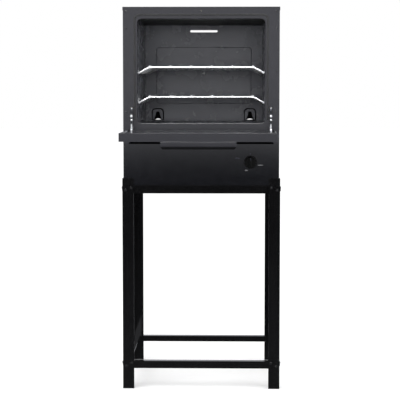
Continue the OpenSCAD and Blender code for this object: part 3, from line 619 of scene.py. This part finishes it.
# %% Finish the upper rack, and copy it for the lower one
lower_data = upper.data.copy()
settle(upper, "upper_rack_wires", "upper_rack", "chrome_wire", ["upper_rack"], sharp=50)
lower_data.transform(Matrix.Translation((0, 0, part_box("lower_rack")[0].z - rack_low.z)))
lower = bpy.data.objects.new("lower_rack_wires", lower_data)
bpy.context.scene.collection.objects.link(lower)
settle(lower, "lower_rack_wires", "lower_rack", "chrome_wire", ["lower_rack"], sharp=50)
print("faces in each rack", len(upper.data.polygons), len(lower.data.polygons))

# %% [markdown]
# ## Screws and bolts
# The stand is held by button-head bolts with a hexagon socket, the cabinet by pan-head screws with
# a cross recess. A head is turned from a short cylinder: its rim is bevelled into a dome and the
# socket is cut with a boolean. Threads could be cut too, but they sit inside the nuts. Each head
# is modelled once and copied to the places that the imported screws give.

# %% Find each screw's place


def islands(node):
    """The corner points of each loose part of a node."""
    piece = copy_of(node)
    choose(piece, "VERT", lambda co, n: False)
    bpy.ops.mesh.select_all(action="SELECT")
    bpy.ops.mesh.separate(type="LOOSE")
    object_mode()
    parts = list(bpy.context.selected_objects)
    found = [[v.co.copy() for v in part.data.vertices] for part in parts]
    for part in parts:
        bpy.data.objects.remove(part)
    return found


def seat(points):
    """Where a screw's head sits: the middle of its base, its outward axis, width and height."""
    low = Vector([min(p[i] for p in points) for i in range(3)])
    high = Vector([max(p[i] for p in points) for i in range(3)])
    size, middle = high - low, (low + high) / 2
    axis = max(range(3), key=lambda i: size[i])
    others = [i for i in range(3) if i != axis]

    def reach(p):
        return max(abs(p[i] - middle[i]) for i in others)

    widest = max(points, key=reach)
    sign = 1 if widest[axis] > middle[axis] else -1
    base = middle.copy()
    base[axis] = widest[axis]
    out = Vector((0, 0, 0))
    out[axis] = sign
    top = (high if sign > 0 else low)[axis]
    return base, out, 2 * reach(widest), abs(top - widest[axis])


# %% One screw head
head_sides = 20
dome_steps = 4
dome_of_height = 0.8
dome_of_width = 0.28
# Each socket: sides of its cutter, reach as a share of the width, and its bars (turn, narrowing).
sockets = {"hex": (6, 0.27, ((0, 1),)), "cross": (4, 0.36, ((0, 0.26), (90, 0.26)))}


def head(width, height, socket):
    """A domed head standing on its base at the origin, with a hexagon or cross socket."""
    bpy.ops.mesh.primitive_cylinder_add(vertices=head_sides, radius=width / 2, depth=height,
                                        location=(0, 0, height / 2))
    made = bpy.context.object
    bpy.ops.object.transform_apply(location=True)
    choose(made, "EDGE", lambda a, b: min(a.z, b.z) > height - 1e-6)
    bpy.ops.mesh.bevel(offset=min(height * dome_of_height, width * dome_of_width), segments=dome_steps)
    object_mode()
    sides, share, bars = sockets[socket]
    for turn, narrow in bars:
        bpy.ops.mesh.primitive_cylinder_add(vertices=sides, radius=width * share, depth=height * 1.2,
                                            location=(0, 0, height))
        cutter = bpy.context.object
        if socket == "cross":
            cutter.rotation_euler.z = math.radians(45)
            bpy.ops.object.transform_apply(rotation=True)
            cutter.scale.y = narrow
            cutter.rotation_euler.z = math.radians(turn)
        bpy.ops.object.transform_apply(location=True, rotation=True, scale=True)
        modify(made, "BOOLEAN", object=cutter, operation="DIFFERENCE", solver="EXACT")
        bpy.data.objects.remove(cutter)
    return made


# %% A node's screws, from one head
stem_sides = 16
stem_tip = 0.5 * mm
sunk = 0.2 * mm


def heads(node, socket, shank, name, paint):
    """Replaces a node of screws by modelled heads on plain shanks (diameter, length)."""
    seats = [seat(points) for points in islands(node)]
    made = []
    for i, (base, out, _, _) in enumerate(seats):
        turn = out.to_track_quat("Z", "Y").to_matrix().to_4x4()
        spin = Matrix.Rotation(math.radians(random.Random(i).uniform(0, 90)), 4, "Z")
        made.append(Matrix.Translation(base) @ turn @ spin)
    width, height = seats[0][2:]
    first = head(width, height, socket)
    across, length = shank
    bpy.ops.mesh.primitive_cylinder_add(vertices=stem_sides, radius=across / 2, depth=length,
                                        location=(0, 0, sunk - length / 2))
    stem = bpy.context.object
    bpy.ops.object.transform_apply(location=True)
    choose(stem, "EDGE", lambda a, b: max(a.z, b.z) < sunk + within - length)
    bpy.ops.mesh.bevel(offset=stem_tip, segments=2)
    object_mode()
    piece = at_places(joined([first, stem]), made)
    settle(piece, name, body_of[node], paint, [node])
    print(name, len(seats), "heads", len(piece.data.polygons), "faces")


# %% Bolts on the stand, screws on the front and back
heads("stand_bolts", "hex", (5 * mm, 9 * mm), "stand_bolt_heads", "black_enamel")
heads("frame_screws", "cross", (3.3 * mm, 1.3 * mm), "front_screw_heads", "black_enamel")
heads("back_screws", "cross", (3.3 * mm, 1 * mm), "back_screw_heads", "zinc_steel")
heads("liner_screw", "cross", (4.9 * mm, 5.5 * mm), "liner_screw_head", "zinc_steel")
soften("stand_nuts", 0.3 * mm, segments=1)

# %% [markdown]
# ## Back wall and air inlets
# The liner's back is one pressed sheet. Its raised field has soft shoulders, so the edges round the
# field get a wider bevel than the rest. Each air inlet is an arched plate with a bell-shaped mouth;
# the mouth's rim is rounded and its throat is painted black, painted shade which makes it read as a
# dark hole. A rolled bead runs round the plate like a bent wire, with squarer shoulders than a plain
# half circle; it is painted black as the shadow in the gap round the plate.

# %% Pressed back wall
back_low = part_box("liner_back")[0]
field_round = 2.4 * mm


def round_field(a, b):
    """True for the edges on the raised field's front face."""
    return max(a.y, b.y) < back_low.y + within


soften("liner_back", 0.3 * mm, segments=1, folds=((round_field, field_round),))

# %% Air inlets, with throats in painted shade and a black bead of painted shadow round each arch
inlet_plate = 2.6 * mm
bead_wire = 4.4 * mm
bead_proud = 0.6 * mm
bead_foot = 2 * mm
shoulder = 13 * mm
arch_steps = 12


def arch(middle_x, half, foot, crown, y):
    """A closed route round an arch whose two shoulders are quarter circles."""
    route = [(middle_x + half, y, foot)]
    for i in range(arch_steps + 1):
        a = math.pi * i / arch_steps
        side = (i < arch_steps // 2) - (i > arch_steps // 2)
        x = middle_x + side * (half - shoulder) + shoulder * math.cos(a)
        route.append((x, y, crown - shoulder + shoulder * math.sin(a)))
    return route + [(middle_x - half, y, foot), (middle_x + half, y, foot)]


for side in ("left", "right"):
    node = "air_inlet_" + side
    inlet = soften(node, 0.6 * mm, segments=2, paint="liner_enamel", turn=50)
    inlet.data.materials.append(finishes["painted_shade_black"])
    low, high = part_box(node)
    middle_x = (low.x + high.x) / 2
    # Faces in the throat are painted black: painted shade in the hole.
    for face in inlet.data.polygons:
        inwards = (face.center.x - middle_x) * face.normal.x < 0 or abs(face.normal.z) > 0.7
        if face.center.y > low.y + inlet_plate or (abs(face.normal.y) < 0.3 and inwards):
            face.material_index = 1
    route = arch(middle_x, (high.x - low.x) / 2, low.z + bead_foot, high.z, low.y + bead_proud)
    # The bead is painted black: the painted shadow of the gap round the plate.
    bead = settle(wire(route, bead_wire), "inlet_bead_" + side, "cabinet",
                  "painted_shade_black", sharp=60)
    print(bead.name, len(bead.data.polygons), "faces")

# %% [markdown]
# ## Hinge arms
# Each oven-type hinge arm is a folded channel with riveted cross pins. The channel is dull, the
# rivet heads and the two straps over its foot are bright, and they are what shows as a broken
# bright line beside the opening. A strap is a block, narrowed at its upper end and well rounded;
# the lower one leans forward at its foot, over the pin.

# %% Sizes of the hinge's pins, rivets and straps
# Rises are above the door's pivot. All three tables are in mm.
pivot_rise = 7 * mm
pin_out = 9 * mm
pin_radius = 3.2 * mm
pin_length = 8 * mm
# Each cross pin: its rise, and its shift towards the middle of the cabinet.
cross_pins = ((16, 0), (24, 1.4), (50, 0))
# Each rivet: its rise, its radius, and how far its middle stands in front of the frame.
rivets = ((64, 4.4, 12.4), (91, 2.7, 5.9))
rivet_length = 3 * mm
# Each strap: foot, top, width, its upper end as a share of the width, and the lean of its foot.
straps = ((3.2, 20, 8.6, 0.8, 3), (26, 36, 5.6, 0.6, 0))
strap_depth = 3.2 * mm
strap_out = 2.8 * mm
strap_round = 1.3 * mm


def rounded_pin(place, radius, depth, turn, rim):
    """A short round pin with soft rims; turn lays it along X or Y."""
    bpy.ops.mesh.primitive_cylinder_add(vertices=24, radius=radius, depth=depth, location=place,
                                        rotation=[math.radians(t) for t in turn])
    pin = bpy.context.object
    bpy.ops.object.transform_apply(location=True, rotation=True)
    modify(pin, "BEVEL", width=rim, segments=4, limit_method="ANGLE", angle_limit=math.radians(40))
    return pin


def strap_block(x, y, pivot_z, low, high, width, waist, lean):
    """A rounded block, narrowed at its upper end, whose foot leans forward."""
    bpy.ops.mesh.primitive_cube_add(size=1, location=(x, y - strap_out, pivot_z + (low + high) / 2 * mm))
    strap = bpy.context.object
    strap.scale = (width * mm, strap_depth, (high - low) * mm)
    bpy.ops.object.transform_apply(location=True, scale=True)
    choose(strap, "FACE", lambda co, n: n.z > 0.9)
    bpy.ops.transform.resize(value=(waist, 1, 1), center_override=(x, y, pivot_z))
    choose(strap, "FACE", lambda co, n: n.z < -0.9)
    bpy.ops.transform.translate(value=(0, -lean * mm, 0))
    object_mode()
    modify(strap, "BEVEL", width=strap_round, segments=4, limit_method="ANGLE")
    return strap


# %% Channels, rivets, pins and straps
for side in ("left", "right"):
    node = "hinge_arm_" + side
    arm_low, arm_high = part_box(node)
    soften(node, 0.3 * mm, segments=2, paint="dull_zinc")
    middle_x = (arm_low.x + arm_high.x) / 2
    towards_middle = -mm if middle_x > 0 else mm
    pivot_z = arm_low.z + pivot_rise
    pin_y = front_y - pin_out
    made = [rounded_pin((middle_x + shift * towards_middle, pin_y, pivot_z + rise * mm), pin_radius,
                        pin_length, (0, 90, 0), 0.9 * mm) for rise, shift in cross_pins]
    made += [rounded_pin((middle_x, front_y - out * mm, pivot_z + rise * mm), radius * mm,
                         rivet_length, (90, 0, 0), 1.4 * mm) for rise, radius, out in rivets]
    made += [strap_block(middle_x, pin_y, pivot_z, *strap) for strap in straps]
    piece = settle(joined(made), "hinge_pins_" + side, "cabinet", "zinc_steel")
    print(piece.name, len(piece.data.polygons), "faces")

# %% [markdown]
# ## Hem of the door
# The far edge of the door's outer sheet is rolled back on itself, which makes it stiff and safe to
# touch. It is made as a half-hidden round wire along the rim, and shows as one thin bright line.

# %% Rolled hem
hem = 3.6 * mm
hem_proud = 0.8 * mm
hem_inset = 4 * mm
hem_y = skin_low.y + hem / 2
hem_z = skin_high.z + hem_proud - hem / 2
hem_x = skin_high.x - hem_inset
roll = wire([(-hem_x, hem_y, hem_z), (hem_x, hem_y, hem_z)], hem, sides=16)
roll = settle(roll, "door_hem", "door", "charcoal_enamel", sharp=60)
print(roll.name, len(roll.data.polygons), "faces")

# %% [markdown]
# ## Rope seal
# The seal is a flat three-strand braid. In a braid each strand swings from side to side once per
# plait and dives over and under twice as often, so three copies of one wave, a third of a plait
# apart, weave themselves. The waves follow the groove round the opening.

# %% The seal's line round the opening
seal_low, seal_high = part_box("door_gasket")
strand_count = 3
strand_radius = 1.0 * mm
plait = 15 * mm
step = 1.5 * mm
swing = 2.55 * mm
dive = 0.28 * mm
seal_half = 4 * mm
seal_y = (seal_low.y + seal_high.y) / 2
corner = 16 * mm
mid_x = seal_high.x - seal_half
top_z = seal_high.z - seal_half


def seal_line():
    """Points and sideways directions along the groove: up one side, across, and down the other."""
    points = []
    z = seal_low.z + step
    while z < top_z - corner:
        points.append((Vector((-mid_x, seal_y, z)), Vector((-1, 0, 0))))
        z += step
    turns = max(3, int(corner * math.pi / 2 / step))
    for i in range(turns):
        a = math.pi - math.pi / 2 * i / turns
        out = Vector((math.cos(a), 0, math.sin(a)))
        points.append((Vector((-mid_x + corner, seal_y, top_z - corner)) + out * corner, out))
    x = -mid_x + corner
    while x < 0:
        points.append((Vector((x, seal_y, top_z)), Vector((0, 0, 1))))
        x += step
    mirror = [(Vector((-p.x, p.y, p.z)), Vector((-o.x, 0, o.z))) for p, o in reversed(points)]
    return points + mirror


# %% Three woven strands
line = seal_line()
strands = []
for k in range(strand_count):
    route = []
    for i, (point, out) in enumerate(line):
        phase = 2 * math.pi * (i * step / plait + k / strand_count)
        sideways = out * swing * math.sin(phase)
        route.append(point + sideways + Vector((0, dive * math.sin(2 * phase), 0)))
    data = bpy.data.curves.new("strand", "CURVE")
    data.dimensions = "3D"
    spline = data.splines.new("POLY")
    spline.points.add(len(route) - 1)
    for target, place in zip(spline.points, route):
        target.co = (*place, 1)
    data.bevel_depth = strand_radius
    data.bevel_resolution = 1
    data.use_fill_caps = True
    strand = bpy.data.objects.new("strand", data)
    bpy.context.scene.collection.objects.link(strand)
    only(strand)
    bpy.ops.object.convert(target="MESH")
    strands.append(bpy.context.object)
seal = settle(joined(strands), "seal_braid", "cabinet", "seal_black",
              ["door_gasket"], sharp=80)
print("seal", len(seal.data.polygons), "faces")

# %% [markdown]
# ## Handle, knob and gas line
# The handle is folded sheet with a curled lip, and keeps its imported shape with rounded edges. Its
# corner against the door gets a wider round, and its faces that point down are painted black, as
# painted shade under the curl. The hinges, the gas line and the burner need rounded edges and no
# more.

# %% Handle, hinges, bezel and pipes
handle_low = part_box("door_handle")[0]
ledge_below = 0.6 * mm
ledge_round = 1.3 * mm


def ledge_edge(a, b):
    """True for the corner where the handle's ledge meets the open door's end face."""
    return max(a.y, b.y) < handle_low.y + within and min(a.z, b.z) > skin_low.z - ledge_below


handle = soften("door_handle", 0.6 * mm, segments=3, folds=((ledge_edge, ledge_round),))
handle.data.materials.append(finishes["painted_shade_black"])
# Faces that point down are painted black: painted shade under the handle's curl.
for face in handle.data.polygons:
    if face.normal.z < -0.12:
        face.material_index = 1
for node in ("door_hinges", "knob_bezel", "gas_valve", "thrust_washer", "supply_pipe", "gas_inlet",
             "feed_pipe", "injector", "burner_tube", "burner_brackets", "igniter"):
    soften(node, 0.3 * mm, segments=2)

# %% [markdown]
# The knob is moulded plastic: a low drum with shallow finger flutes, a tapered bar to turn it by
# and an inlaid pointer. The flutes could be cut with booleans; drawing in pairs of rim points
# gives the same shallow scallops with no cutters. The spindle behind it reaches the gas valve.

# %% The knob's drum
knob_low, knob_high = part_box("control_knob")
knob_x = (knob_low.x + knob_high.x) / 2
knob_z = (knob_low.z + knob_high.z) / 2
knob_r = (knob_high.x - knob_low.x) / 2
drum_back = front_y - 3.8 * mm
drum_deep = 12 * mm
drum_sides = 72
flute_sides = 6
flute_draw = 0.955
rim_round = 2.2 * mm
dish_wall = 2.5 * mm
dish_deep = 0.7 * mm
lying = (math.radians(90), 0, 0)
bpy.ops.mesh.primitive_cylinder_add(vertices=drum_sides, radius=knob_r, depth=drum_deep,
                                    location=(knob_x, drum_back - drum_deep / 2, knob_z),
                                    rotation=lying)
drum = bpy.context.object
bpy.ops.object.transform_apply(location=True, rotation=True)


def fluted(co):
    """True for the front rim points that a flute draws in."""
    turn = math.degrees(math.atan2(co.z - knob_z, co.x - knob_x))
    place = round(turn * drum_sides / 360) % drum_sides
    return co.y < drum_back - drum_deep + mm and place % flute_sides in (0, 1)


choose(drum, "VERT", lambda co, n: fluted(co))
bpy.ops.transform.resize(value=(flute_draw, 1, flute_draw), center_override=(knob_x, drum_back, knob_z))
object_mode()
choose(drum, "FACE", lambda co, n: n.y < -0.9)
bpy.ops.mesh.bevel(offset=rim_round, segments=4)
bpy.ops.mesh.inset(thickness=dish_wall)
bpy.ops.transform.translate(value=(0, dish_deep, 0))
object_mode()
modify(drum, "BEVEL", width=0.35 * mm, segments=2, limit_method="ANGLE", angle_limit=math.radians(35))
print("drum", len(drum.data.polygons), "faces")

# %% The knob's bar and pointer
bar_wide = 12 * mm
bar_inset = 1.7 * mm
bar_taper = (0.72, 1, 0.93)
pointer_up = 11 * mm
pointer_size = (1.3 * mm, 0.5 * mm, 9 * mm)
bar_front = knob_low.y
bar_deep = drum_back - drum_deep + 2 * mm - bar_front
bpy.ops.mesh.primitive_cube_add(size=1, location=(knob_x, bar_front + bar_deep / 2, knob_z))
bar = bpy.context.object
bar.scale = (bar_wide, bar_deep, 2 * (knob_r - bar_inset))
bpy.ops.object.transform_apply(location=True, scale=True)
choose(bar, "VERT", lambda co, n: co.y < bar_front + mm)
bpy.ops.transform.resize(value=bar_taper, center_override=(knob_x, bar_front, knob_z))
object_mode()
modify(bar, "BEVEL", width=1.6 * mm, segments=4, limit_method="ANGLE")
bpy.ops.mesh.primitive_cube_add(size=1, location=(knob_x, bar_front + within, knob_z + pointer_up))
pointer = bpy.context.object
pointer.scale = pointer_size
bpy.ops.object.transform_apply(location=True, scale=True)
modify(pointer, "BEVEL", width=0.2 * mm, segments=2)
print("bar", len(bar.data.polygons), "pointer", len(pointer.data.polygons), "faces")

# %% The spindle, and the whole knob
spindle_radius = 4 * mm
spindle_length = 30 * mm
spindle_back = 13 * mm
bpy.ops.mesh.primitive_cylinder_add(vertices=24, radius=spindle_radius, depth=spindle_length,
                                    location=(knob_x, drum_back + spindle_back, knob_z),
                                    rotation=lying)
spindle = bpy.context.object
modify(spindle, "BEVEL", width=0.5 * mm, segments=2)
knob_paints = {drum: "black_plastic", bar: "black_plastic", pointer: "print_blue", spindle: "zinc_steel"}
for part, paint in knob_paints.items():
    part.data.materials.append(finishes[paint])
knob = settle(joined(list(knob_paints)), "turning_knob", body_of["control_knob"],
              stands_for=["control_knob"], sharp=35)
print("knob", len(knob.data.polygons), "faces", [m.name for m in knob.data.materials])

# %% [markdown]
# ## Marks round the knob
# Small signs are printed on the panel, two clear and two faint: a dot for off, and two dashes and
# an oval that say how far the gas is open. Ink has almost no thickness. A flat piece a tenth of a
# millimetre proud of the paint gives it a crisp edge from any side.

# %% Printed marks
ink_y = front_y - 0.12 * mm
ink_thickness = 0.1 * mm


def mark(place, reach, height=1):
    """A flat disc, or an oval whose height is a share of its width; place and reach in mm."""
    across, up = place
    bpy.ops.mesh.primitive_circle_add(
        vertices=24, radius=reach * mm, fill_type="NGON", rotation=lying,
        location=(knob_x + across * mm, ink_y, knob_z + up * mm))
    sign = bpy.context.object
    sign.scale = (1, height, 1)
    bpy.ops.object.transform_apply(location=True, rotation=True, scale=True)
    modify(sign, "SOLIDIFY", thickness=ink_thickness, offset=0)
    return sign


clear_signs = joined([mark((35, -10.5), 10, 0.15), mark((-15, -29), 5.6, 0.42)])
faint_signs = joined([mark((0, 30), 2), mark((-46, 14), 8, 0.2)])
for signs, name, paint in ((clear_signs, "clear_marks", "print_grey"),
                           (faint_signs, "faint_marks", "print_blue")):
    marks = settle(signs, name, "cabinet", paint)
    print(marks.name, len(marks.data.polygons), "faces")

# %% [markdown]
# ## Thread on the gas inlet
# A gas hose screws onto the brass nipple at the back. A real thread is cut; here one thin wire is
# wound round the plain nipple, a helix by formula, because that gives clean turns of light at a
# fraction of the faces that a cut thread needs.

# %% Thread turns
inlet_low, inlet_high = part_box("gas_inlet")
inlet_x = (inlet_low.x + inlet_high.x) / 2
inlet_z = (inlet_low.z + inlet_high.z) / 2
thread_radius = 10 * mm
thread_wire = 0.9 * mm
thread_length = 10 * mm
pitch = 1.8 * mm
turn_steps = 24
thread_start = inlet_high.y - 11 * mm
route = []
for i in range(int(thread_length / pitch * turn_steps)):
    a = 2 * math.pi * i / turn_steps
    route.append((inlet_x + thread_radius * math.cos(a), thread_start + pitch * i / turn_steps,
                  inlet_z + thread_radius * math.sin(a)))
thread = settle(wire(route, thread_wire, sides=6), "inlet_thread", "cabinet",
                "gas_brass", sharp=50)
print("thread", len(thread.data.polygons), "faces")
